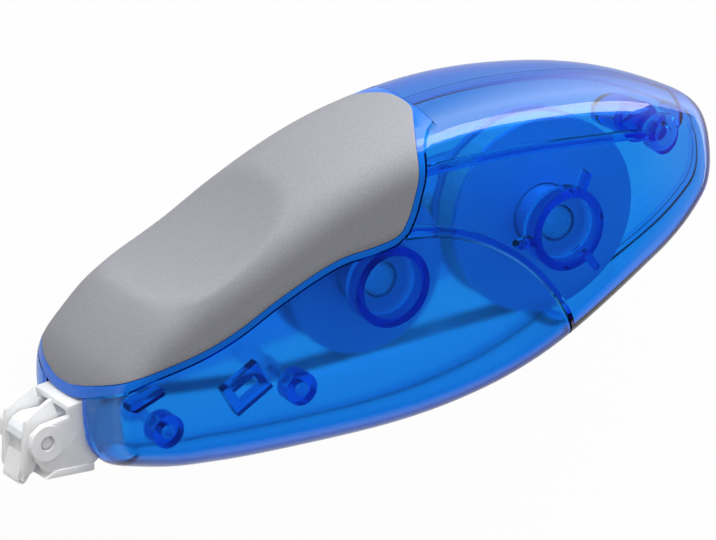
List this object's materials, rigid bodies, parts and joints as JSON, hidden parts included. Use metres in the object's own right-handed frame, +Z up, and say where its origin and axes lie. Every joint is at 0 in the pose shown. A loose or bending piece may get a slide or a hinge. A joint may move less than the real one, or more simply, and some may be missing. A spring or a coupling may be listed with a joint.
{
  "type": "correction tape dispenser",
  "caption": "Hand-held correction tape dispenser with a rounded translucent case, a soft finger grip and a rocking tip that lays tape fed from geared reels.",
  "frame": {"origin": "centre of the bounding box in plan, on the flat of the right side that the dispenser lies on", "axes": "X along the length with the tip at -X, +Y to the grip's side, +Z up through the left side"},
  "size_m": [0.1176, 0.045, 0.026],
  "materials": {
    "blue_shell": "glossy translucent azure blue",
    "blue_carrier": "glossy azure blue",
    "grip_rubber": "matt grey soft rubber",
    "clear_nose": "clear, lightly frosted",
    "inner_plastic": "satin pale",
    "gear_plastic": "satin white",
    "white_tape": "matt white coating on film",
    "spent_film": "clear film",
    "clutch_rubber": "matt black"
  },
  "bodies": {
    "case": {"left_front_shell": "blue_shell", "right_front_shell": "blue_shell", "left_rear_shell": "blue_shell", "right_rear_shell": "blue_shell", "grip_carrier": "blue_carrier", "grip_pad": "grip_rubber", "nose_block": "clear_nose", "tip_pivot_pin": "clear_nose", "mechanism_plate": "inner_plastic", "tape_run": "white_tape", "film_run": "spent_film"},
    "supply_reel": {"supply_spool": "inner_plastic", "supply_flange": "inner_plastic", "tape_roll": "white_tape"},
    "supply_drive": {"supply_gear": "gear_plastic", "clutch_ring": "clutch_rubber"},
    "idler": {"idler_gear": "gear_plastic"},
    "takeup_reel": {"takeup_gear": "gear_plastic", "takeup_drum": "inner_plastic", "takeup_flange": "inner_plastic", "film_wrap": "spent_film"},
    "tip": {"tip_head": "clear_nose", "tip_tape": "white_tape"}
  },
  "joints": [
    {"name": "supply_spin", "type": "hinge", "parent": "case", "child": "supply_reel", "pos_m": [0.02942, -0.00158, 0.013], "axis": [0, 0, 1], "continuous": true},
    {"name": "supply_gear_spin", "type": "hinge", "parent": "case", "child": "supply_drive", "pos_m": [0.02942, -0.00158, 0.013], "axis": [0, 0, 1], "continuous": true},
    {"name": "idler_spin", "type": "hinge", "parent": "case", "child": "idler", "pos_m": [0.0133, -0.00003, 0.013], "axis": [0, 0, 1], "continuous": true},
    {"name": "takeup_spin", "type": "hinge", "parent": "case", "child": "takeup_reel", "pos_m": [0.00016, 0.00124, 0.013], "axis": [0, 0, 1], "continuous": true},
    {"name": "tip_rock", "type": "hinge", "parent": "case", "child": "tip", "pos_m": [-0.05432, -0.00408, 0.013], "axis": [0, 0, 1], "range_deg": [-6, 6], "stiffness_Nm_per_rad": 0.01}
  ],
  "couplings": [
    {"joint": "supply_gear_spin", "follows": "supply_spin", "ratio": 1},
    {"joint": "idler_spin", "follows": "supply_spin", "ratio": -2.375},
    {"joint": "takeup_spin", "follows": "supply_spin", "ratio": 1.3571}
  ]
}
